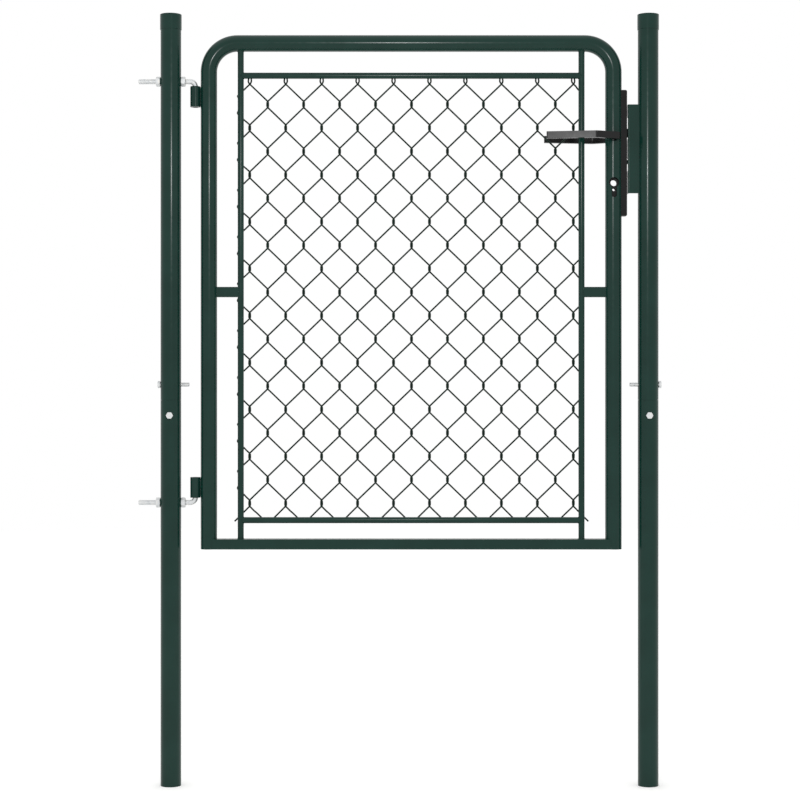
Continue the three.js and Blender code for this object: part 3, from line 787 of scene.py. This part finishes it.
def cylinder_outline(x):
    """The stile's hole for a key cylinder, as (x, z) points: round, over a leg with a round end."""
    radius = 10 * MM
    leg = 5 * MM
    drop = 29 * MM
    meet = math.degrees(math.acos(leg / radius))
    points = arc((x, CYLINDER_Z), radius, -meet, 180 + meet, 40)
    points += arc((x, CYLINDER_Z - drop + leg), leg, 180, 360, 12)
    return points


def make_rail():
    corner = 1 * MM
    outline = rounded(rectangle(rail.low.yz, rail.high.yz), corner)
    ends = (tube.low.x + STILE_R, tube.high.x - STILE_R)
    beam = raised("bottom_rail_beam", outline, *ends, "x")
    cut(beam, stile_tool("left"), stile_tool("right"))
    stand_for("leaf_bottom_rail", beam, "green_coat")
    for side, sign in SIDES.items():
        weld_around_box(f"rail_weld_{side}", rail, STILES[side], sign, STILE_R, corner)


def weld_around_box(name, place, axis_x, sign, radius, corner):
    """A bead up the front, over the top and down the back of a bar's end on an upright tube."""
    inset = 0.4 * MM
    foot = place.low.z + 1.2 * MM
    front, back, top = place.low.y + inset, place.high.y - inset, place.high.z - inset
    outline = [(front, foot)]
    outline += arc((front + corner, top - corner), corner, 180, 90, 6)
    outline += arc((back - corner, top - corner), corner, 90, 0, 6)
    outline.append((back, foot))
    route = []
    for y, z in outline:
        away = math.sqrt(max(radius * radius - y * y, 0))
        route.append(Vector((axis_x + sign * away, y, z)))
    weld(name, route, "leaf", radius=0.9 * MM)


def weld_on_bar(name, centre, along, radius, other_radius):
    """A bead around a round bar's end on a round tube: a saddle curve about the bar's axis."""
    route = []
    for y, aside in arc((0, 0), radius, 0, 360, 32):
        away = math.sqrt(max(other_radius * other_radius - y * y, 0))
        across = Vector((aside, y, 0)) if along.z else Vector((0, y, aside))
        route.append(centre + across + along * away)
    weld(name, route, "leaf", BAR_WELD_R, closed=True)


def make_uprights():
    """The two upright bars, from the rail to the arch."""
    rail_top = rail.high.z
    for side, x in BARS_X.items():
        profile = rod_profile(BAR_R, rail_top - 0.2 * MM, TOP_Z)
        upright = revolve(f"mesh_bar_{side}_round", profile, "z", (x, 0, 0), ROUND_BAR)
        around = 30 * MM
        profile = rod_profile(STILE_R - TOUCH, x - around, x + around)
        top = revolve("top_tool", profile, "x", (0, 0, TOP_Z))
        stand_for("mesh_bar_" + side, cut(upright, top), "green_coat")
        weld_on_bar(f"bar_top_weld_{side}", Vector((x, 0, TOP_Z)), Vector((0, 0, -1)), BAR_R, STILE_R)
        foot = [Vector((x + u, v, rail_top)) for u, v in arc((0, 0), BAR_R + 0.3 * MM, 0, 360, 32)]
        weld(f"bar_foot_weld_{side}", foot, "leaf", BAR_WELD_R, closed=True)


def make_crossbars():
    """The two bars between the uprights that the mesh hangs from."""
    for level in ("top", "bottom"):
        z = bars[level].mid.z
        profile = rod_profile(BAR_R, BARS_X["left"], BARS_X["right"])
        across = revolve(f"mesh_bar_{level}_round", profile, "x", (0, 0, z), ROUND_BAR)
        cut(across, bar_tool("left"), bar_tool("right"))
        stand_for("mesh_bar_" + level, across, "green_coat")
        for side, sign in SIDES.items():
            centre = Vector((BARS_X[side], 0, z))
            weld_on_bar(f"bar_{level}_weld_{side}", centre, Vector((sign, 0, 0)), BAR_R, BAR_R)


def make_struts():
    """The short flat struts between a stile and its upright."""
    edge = 1.2 * MM
    for side, sign in SIDES.items():
        node = "leaf_strut_" + side
        place = Place(node)
        start, end = sorted((STILES[side], BARS_X[side]))
        low = (start, place.low.y, place.low.z)
        high = (end, place.high.y, place.high.z)
        strut = bevel(block(node + "_bar", low, high), edge, segments=3)
        cut(strut, stile_tool(side, -TOUCH), bar_tool(side))
        stand_for(node, strut, "green_coat")
        weld_around_box(f"strut_weld_{side}_stile", place, STILES[side], sign, STILE_R, edge)
        weld_around_box(f"strut_weld_{side}_bar", place, BARS_X[side], -sign, BAR_R, edge)


# -------- chain-link mesh
WIRES = sorted(n for n in frame["nodes"] if n.startswith("mesh_wire_"))
# Two wires meet in a column of knots. In a column there is a knot in every second row.
COLUMN_STEP = 35 * MM
COLUMN_0 = -292.6 * MM
ROW_0 = 1371 * MM
ROW_STEP = 45.65 * MM
ROWS = 19
KNOT_HALF = 4.7 * MM  # half of a knot's height
HUG = 1.3 * MM  # how far a wire goes past the column's line in a knot
LIFT = 1.5 * MM  # of a wire to the front or back of a knot
BAR_HUG = BAR_R + 0.75 * MM  # from a bar's middle to a wire bent around it
# The hook that starts a wire: distance aside of its column, depth, and height from the top bar's middle.
HOOK = [
    (2.4 * MM, BAR_HUG, 3.6 * MM),
    (2.4 * MM, BAR_HUG, -4 * MM),
    (3.2 * MM, 3.2 * MM, -10.5 * MM),
]
HOOK_END = -15.2 * MM
# An edge wire's way past its bar: degrees from straight behind the bar, and height above its row in mm.
# The left one goes around its bar, and the right one stays behind it.
EDGE_WAY = [(0, 24), (45, 19), (76, 16.5), (40, 12), (25, 4), (30, -9), (88, -16.5), (45, -20), (0, -24)]
# How a wire from a knot's front gets behind a bar: distance before the bar, and depth.
DIVE = [(11 * MM, -1.4 * MM), (7.5 * MM, 4.9 * MM)]
BEHIND = BAR_R + 0.8 * WIRE_R  # the depth of a wire behind a bar
# The cut end, from the last knot: where it is behind the bottom bar, and where it stops.
TAIL_BEND = 22 * MM
TAIL_END = 31.2 * MM


def wire_route(n):
    """The bends of wire n, from its hook over the top bar to its cut end."""
    last = len(WIRES) - 1
    on_edge = n in (0, last)
    edge_x = BARS_X["left"] if n == 0 else BARS_X["right"]
    even_on_right = n % 2 == 0
    top = bars["top"].mid.z
    knot_x = COLUMN_0 if n == 0 else COLUMN_0 + COLUMN_STEP * (last - 1)
    knot_gap = abs(edge_x - knot_x) + HUG
    points = []
    for row in range(ROWS):
        at_right = (row % 2 == 0) == even_on_right
        side = 1 if at_right else -1  # the wire leaves a knot at its right at the back, at its left in front
        column_x = COLUMN_0 + COLUMN_STEP * (n if at_right else n - 1)
        x = column_x + side * HUG
        z = ROW_0 - ROW_STEP * row
        if row == 0:
            points += [Vector((column_x + side * out, depth, top + rise)) for out, depth, rise in HOOK]
            points.append(Vector((x, side * LIFT, top + HOOK_END)))
        elif on_edge and row % 2 == 1:
            reach = EDGE_WAY[0][1] * MM
            slope = (ROW_STEP - KNOT_HALF - reach) / knot_gap
            dive = [(-before, depth, side * (reach + slope * before)) for before, depth in DIVE]
            bulge = BAR_HUG if n == 0 else BAR_R - WIRE_R
            bend = []
            for degrees, rise in EDGE_WAY:
                angle = math.radians(degrees)
                depth = BAR_HUG * math.cos(angle) if n == 0 else BEHIND
                bend.append((bulge * math.sin(angle), depth, rise * MM))
            way = dive + bend if at_right else bend + dive[::-1]
            points += [Vector((edge_x + side * out, depth, z + rise)) for out, depth, rise in way]
        else:
            points.append(Vector((x, -side * LIFT, z + KNOT_HALF)))
            points.append(Vector((x, side * LIFT, z - KNOT_HALF)))
            foot = (x, z - KNOT_HALF, side)
    x, z, side = foot
    reach = abs(edge_x - x) if on_edge else TAIL_BEND
    tail = [(reach - before, depth) for before, depth in DIVE] if side < 0 else []
    tail += [(reach, BEHIND), (TAIL_END, BEHIND)]
    points += [Vector((x - side * run, depth, z - run)) for run, depth in tail]
    return points


def make_mesh():
    bend_r = 2.6 * MM
    core_r = 0.85 * MM
    proud = 0.05 * MM
    for n, node in enumerate(WIRES):
        route = rounded(wire_route(n), bend_r, steps=4)
        wire = sweep(f"chain_wire_{n + 1:02d}", route, WIRE_R, WIRE_SIDES)
        bevel(wire, 0.15 * MM, segments=1, angle=60)
        stand_for(node, wire, "wire_coat")
        tip = route[-1]
        along = (route[-1] - route[-2]).normalized()
        stub = [tip - along * MM, tip + along * proud]
        core = sweep(f"chain_wire_core_{n + 1:02d}", stub, core_r, WIRE_SIDES)
        add_on(core, "leaf", "zinc")
        core.data.materials[0] = CUT


# -------- lock
# The case's keyhole: a round hole, and a smaller one some way below it.
KEY_R = 6.3 * MM
KEY_FOOT_R = 2.9 * MM
KEY_DROP = 13.2 * MM
LATCH_HEIGHT = 16.7 * MM
DEADBOLT_HEIGHT = 7.6 * MM
# A lever's corners from above: x from the spindle, distance from the leaf's middle, and radius, in mm.
LEVER_CORNERS = [
    (-7, 17, 0.6),
    (10.6, 17, 1.2),
    (10.6, 28.5, 5),
    (-35.5, 50, 5),
    (-132.5, 36, 1.6),
    (-132.5, 28, 1.6),
    (-36.5, 42, 3),
    (-7, 28.2, 2),
]
# The windows' heights are from the plate's lower end. The back edge is bent away a little past each window.
STRIKE = {
    "wall": 2 * MM,
    "fold": 2.4 * MM,
    "windows": ((44.5 * MM, 67.5 * MM), (106.5 * MM, 147.5 * MM)),
    "beyond": 2 * MM,
}


def make_lock():
    """The case inside the stile, its lid and its faceplate."""
    case = Place("lock_case")
    cover = Place("lock_cover")
    x = STILES["right"]
    wall = 1.3 * MM
    past = 5 * MM
    edge = 0.25 * MM

    def holes():
        rounds = ((6.5 * MM, SPINDLE_Z), (KEY_R, CYLINDER_Z), (KEY_FOOT_R, CYLINDER_Z - KEY_DROP))
        return [
            revolve("hole", rod_profile(radius, -STILE_R, STILE_R), "y", (x, 0, z), ROUND_BAR)
            for radius, z in rounds
        ]

    tray = block("lock_case_tray", case.low, case.high)
    low = (case.low.x + wall, case.low.y + wall, case.low.z + wall)
    high = (case.high.x + past, case.high.y + past, case.high.z - wall)
    cut(tray, block("inside", low, high), *holes())
    stand_for("lock_case", bevel(tray, edge), "black_coat")
    lid = cut(block("lock_case_lid", cover.low, cover.high), *holes())
    stand_for("lock_cover", bevel(lid, edge), "black_coat")
    make_faceplate(x)


def make_faceplate(x):
    """The strip on the stile's edge, with windows for the two bolts."""
    plate = Place("lock_faceplate")
    front = plate.high.x
    inside = x + STILE_R / 2
    corner = 3 * MM
    outline = [(inside, plate.low.z)]
    outline += arc((front - corner, plate.low.z + corner), corner, -90, 0, 10)
    outline += arc((front - corner, plate.high.z - corner), corner, 0, 90, 10)
    outline.append((inside, plate.high.z))
    strip = raised("lock_faceplate_strip", outline, plate.low.y, plate.high.y, "y")
    bevel(strip, 0.8 * MM, segments=3, angle=60)
    tools = [stile_tool("right")]
    clear = 0.4 * MM
    past = 5 * MM
    latch = Place("latch_bolt")
    bolt = Place("deadbolt")
    windows = [
        (latch.low.y, latch.high.y, latch.low.z, latch.low.z + LATCH_HEIGHT),
        (bolt.low.y, bolt.high.y, bolt.high.z - DEADBOLT_HEIGHT, bolt.high.z),
    ]
    for y0, y1, z0, z1 in windows:
        low = (inside, y0 - clear, z0 - clear)
        high = (front + past, y1 + clear, z1 + clear)
        tools.append(block("window", low, high))
    cut(strip, *tools)
    for end in ("bottom", "top"):
        make_countersunk(strip, "faceplate_screw_" + end, front)
    stand_for("lock_faceplate", bevel(strip, 0.2 * MM, angle=50), "black_coat")


def make_countersunk(strip, node, front):
    """A countersunk screw with a cross recess, and its seat in the faceplate."""
    place = Place(node)
    start = place.low.x
    origin = (0, 0, place.mid.z)
    head_r = 3.7 * MM
    hole_r = SCREW_R + CLEARANCE
    seat_r = head_r + 0.4 * MM
    drop = 1.9 * MM
    beyond = MM
    seat = [(0, start), (hole_r, start), (hole_r, front - drop)]
    seat += [(seat_r, front), (seat_r, front + beyond), (0, front + beyond)]
    cut(strip, revolve("seat", seat, "x", origin, ROUND_BAR))
    tip = 0.6 * MM
    rim = 0.2 * MM
    profile = [(0, start), (SCREW_R - tip, start), (SCREW_R, start + tip)]
    profile += [(SCREW_R, front - drop), (head_r, front - rim), (head_r - rim, front), (0, front)]
    screw = revolve(node + "_body", profile, "x", origin, ROUND_BAR)
    recess_depth = 1.2 * MM
    long_half = 2.3 * MM
    short_half = 0.55 * MM
    slots = []
    for wide, tall in ((long_half, short_half), (short_half, long_half)):
        low = (front - recess_depth, -wide, place.mid.z - tall)
        high = (front + beyond, wide, place.mid.z + tall)
        slots.append(block("recess", low, high))
    cut(screw, *slots)
    stand_for(node, bevel(screw, 0.08 * MM, angle=40), "zinc")


def lever_outline(x, sign):
    """A lever from above, as (x, y) points: a neck on the spindle, a slant and a long grip."""
    corners = [(x + u * MM, sign * v * MM) for u, v, _ in LEVER_CORNERS]
    radii = [radius * MM for _, _, radius in LEVER_CORNERS]
    return rounded(corners, radii, steps=6)


def make_levers():
    """Both levers, with the front one's spindle and the back one's socket, and what turns with them."""
    x = STILES["right"]
    half = 4 * MM
    for side, sign in (("front", -1), ("back", 1)):
        node = side + "_lever"
        place = Place(node)
        z = place.mid.z
        bar = raised(node + "_handle", lever_outline(x, sign), place.low.z, place.high.z, "z")
        bevel(bar, 0.3 * MM, angle=50)
        if side == "front":
            low = (x - half, -20 * MM, z - half)
            high = (x + half, place.high.y, z + half)
            join(bar, bevel(block("spindle", low, high), 0.5 * MM))
        else:
            wide = half + CLEARANCE
            socket_end = 29.3 * MM
            cut(bar, block("socket", (x - wide, 0, z - wide), (x + wide, socket_end, z + wide)))
        stand_for(node, bar, "black_coat")
        bar.data.materials[0] = LEVER
        make_boss(side, x, sign, z)
    make_follower(x, half + CLEARANCE)


def make_follower(x, socket_half):
    """The hub inside the case that the spindle turns, with the lobe that draws the latch."""
    place = Place("lever_follower")
    profile = rod_profile(9 * MM, place.low.y, place.high.y, chamfer=0.4 * MM)
    hub = revolve("follower_hub", profile, "y", (x, 0, SPINDLE_Z), ROUND_BAR)
    lobe = block("lobe", (-2 * MM, -3 * MM, 4 * MM), (2 * MM, 3 * MM, 18 * MM))
    bevel(lobe, 0.4 * MM)
    half_turn = 17.5  # degrees: half of the lever's travel
    lean = Matrix.Rotation(math.radians(half_turn), 4, "Y")
    lobe.data.transform(Matrix.Translation((x, 0, SPINDLE_Z)) @ lean)
    join(hub, lobe)
    low = (x - socket_half, -STILE_R, SPINDLE_Z - socket_half)
    high = (x + socket_half, STILE_R, SPINDLE_Z + socket_half)
    cut(hub, block("square", low, high))
    stand_for("lever_follower", hub, "zinc")


def make_boss(side, x, sign, z):
    """The round boss behind a lever, which turns in the stile's hole."""
    radius = 5.7 * MM
    inner_end = 12 * MM
    outer_end = 18.5 * MM
    profile = rod_profile(radius, sign * inner_end, sign * outer_end)
    boss = revolve(side + "_lever_boss", profile, "y", (x, 0, z), ROUND_BAR)
    add_on(boss, "lever_set", "black_coat")


def make_latch():
    """The sprung bolt: a slanted nose, and a cranked arm with a hook that the follower's lobe pulls."""
    place = Place("latch_bolt")
    tail_x = place.low.x
    front = place.high.x
    top = place.low.z + LATCH_HEIGHT
    back = front - 16 * MM
    nose = [
        (back, place.low.y),
        (front - 9 * MM, place.low.y),
        (front, place.high.y - 2 * MM),
        (front, place.high.y),
        (back, place.high.y),
    ]
    head = raised("latch_nose", nose, place.low.z, top, "z")
    bevel(head, 0.6 * MM, segments=3)
    half = 3 * MM
    overlap = MM
    riser_x = tail_x + 9.9 * MM
    neck_z = top - 5.6 * MM
    arm_top = top + 6.4 * MM
    spine = [
        block("neck", (riser_x, -half, neck_z), (back + overlap, half, top)),
        block("riser", (riser_x, -half, neck_z), (riser_x + 4.5 * MM, half, place.high.z)),
        block("arm", (tail_x, -half, top + 2.9 * MM), (riser_x + overlap, half, arm_top)),
        block("hook", (tail_x, -half, top - 1.6 * MM), (tail_x + 2 * MM, half, arm_top)),
    ]
    join(head, *spine)
    stand_for("latch_bolt", head, "black_coat")


def make_deadbolt():
    """A flat bar with a talon under its back end."""
    bolt = Place("deadbolt")
    bar = block("deadbolt_bar", (bolt.low.x, bolt.low.y, bolt.high.z - DEADBOLT_HEIGHT), bolt.high)
    bevel(bar, 0.6 * MM, segments=3)
    talon_length = 10.5 * MM
    talon_top = bolt.high.z - 6 * MM
    talon = block("talon", bolt.low, (bolt.low.x + talon_length, bolt.high.y, talon_top))
    bevel(talon, 0.4 * MM)
    join(bar, talon)
    stand_for("deadbolt", bar, "black_coat")


def make_spring():
    """The coil behind the latch, which shortens as the latch slides in."""
    spring = Place("latch_spring")
    wire = 0.45 * MM
    coil_r = spring.size.z / 2 - wire
    turns = 6
    turn_steps = 24
    steps = turns * turn_steps
    route = []
    for i in range(steps + 1):
        angle = 2 * math.pi * i / turn_steps
        x = spring.low.x + wire + (spring.size.x - 2 * wire) * i / steps
        route.append(Vector((x, coil_r * math.cos(angle), spring.mid.z + coil_r * math.sin(angle))))
    coil = sweep("latch_spring_coil", route, wire, sides=10)
    stand_for("latch_spring", coil, "zinc")
    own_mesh(coil)


def strike_outline(place, post, bend):
    """The strike's section, as (x, y) points, with its back edge bent away by a share of the whole bend."""
    wall = STRIKE["wall"]
    fold = STRIKE["fold"]
    centre = (place.low.x + fold, place.low.y + fold)
    # How far the bent edge stands away, and the y where it does.
    lip = [(0, -0.5 * MM), (0.25 * MM, 1.2 * MM), (0.9 * MM, 2.6 * MM), (4.3 * MM, place.high.y)]
    back = [(place.low.x + bend * out, y) for out, y in reversed(lip)]
    front = [(place.low.x + wall + bend * out, y) for out, y in lip]
    corner = [(post.mid.x, place.low.y), (post.mid.x, place.low.y + wall)]
    outer = arc(centre, fold, 180, 270, 8)
    inner = arc(centre, fold - wall, 270, 180, 8)
    return [*back, *outer, *corner, *inner, *front]


def make_strike():
    """The folded angle on the lock post, its two windows and its stitch welds."""
    place = Place("strike_plate")
    post = Place("right_post_lower")
    beyond = STRIKE["beyond"]
    easing = [(0, 0), (0.5 * MM, 0.12), (1.6 * MM, 0.9), (beyond, 1)]  # height, and share of the bend
    half_width = 6 * MM
    levels = [(place.low.z, 0)]
    tools = []
    for start, end in STRIKE["windows"]:
        bottom = place.low.z + start - beyond
        top = place.low.z + end + beyond
        levels += [(bottom + rise, bend) for rise, bend in easing]
        levels += [(top - rise, bend) for rise, bend in reversed(easing)]
        low = (place.low.x - 5 * MM, -half_width, place.low.z + start)
        high = (place.low.x + 9 * MM, half_width, place.low.z + end)
        tools.append(block("window", low, high))
    levels.append((place.high.z, 0))
    rings = [[Vector((x, y, z)) for x, y in strike_outline(place, post, bend)] for z, bend in levels]
    angle = loft("strike_angle", rings)
    radius = post.size.x / 2
    profile = rod_profile(radius, place.low.z - MM, place.high.z + MM)
    tools.append(revolve("post_tool", profile, "z", (post.mid.x, 0, 0)))
    cut(angle, *tools)
    stand_for("strike_plate", bevel(angle, 0.3 * MM, angle=40), "green_coat")

    y = place.low.y + STRIKE["wall"]
    x = post.mid.x - math.sqrt(radius * radius - y * y)
    weld_y = y + 0.4 * MM
    stitches = 3
    length = 22 * MM
    for i in range(stitches):
        z = place.low.z + (place.size.z - length) * i / (stitches - 1)
        route = [Vector((x, weld_y, z)), Vector((x, weld_y, z + length))]
        weld(f"strike_weld_{i + 1}", route, "posts", radius=1.8 * MM)


# -------- stage
def make_camera(scene):
    data = bpy.data.cameras.new("camera")
    data.lens = 85
    data.sensor_width = 36
    camera = bpy.data.objects.new("camera", data)
    camera.location = (0, -3.677, 0.75)
    camera.rotation_euler = (math.pi / 2, 0, 0)
    scene.collection.objects.link(camera)
    scene.camera = camera


def make_floor():
    radius = 6
    thickness = 0.02
    profile = [(0, -thickness), (radius, -thickness), (radius, 0), (0, 0)]
    floor = revolve("floor", profile, "z", (0, 1.5, 0), sides=96)
    paper = Nodes("floor_paper")
    fibre = paper.noise(size=4 * MM, detail=4.0)
    paper.socket("Base Color", paper.colours(fibre, [(0.3, 0xF6F6F5), (0.7, 0xFBFBFA)]))
    paper.socket("Roughness", 0.85)
    paper.socket("Emission Color", (1.0, 1.0, 1.0, 1.0))
    paper.socket("Emission Strength", 0.12)
    finish(floor, paper.material)


def make_stage():
    scene = bpy.context.scene
    make_camera(scene)
    make_floor()
    world = bpy.data.worlds.new("studio")
    scene.world = world
    world.use_nodes = True
    tree = world.node_tree
    tree.nodes.clear()
    tent = tree.nodes.new("ShaderNodeBackground")
    tent.inputs["Color"].default_value = (1, 1, 1, 1)
    tent.inputs["Strength"].default_value = 1.0
    output = tree.nodes.new("ShaderNodeOutputWorld")
    tree.links.new(tent.outputs["Background"], output.inputs["Surface"])
    scene.view_settings.view_transform = "Standard"
    add_light("front_lamp", location=(0.0, -2.03, 1.44), target=(0, 0, 1.3), size=(0.07, 0.1), power=7)
    add_light("overhead", location=(-0.6, -0.6, 3.6), target=(0, 0.2, 0.2), size=(2.6, 2.6), power=6)


def add_light(name, location, target, size, power):
    data = bpy.data.lights.new(name, "AREA")
    data.shape = "RECTANGLE"
    data.size, data.size_y = size
    data.energy = power
    light = bpy.data.objects.new(name, data)
    light.location = location
    aim = Vector(target) - Vector(location)
    light.rotation_euler = aim.to_track_quat("-Z", "Y").to_euler()
    bpy.context.scene.collection.objects.link(light)


make_stage()
make_post("left")
make_post("right")
make_hinge("upper")
make_hinge("lower")
make_arch()
make_rail()
make_uprights()
make_crossbars()
make_struts()
make_mesh()
make_lock()
make_levers()
make_latch()
make_deadbolt()
make_spring()
make_strike()
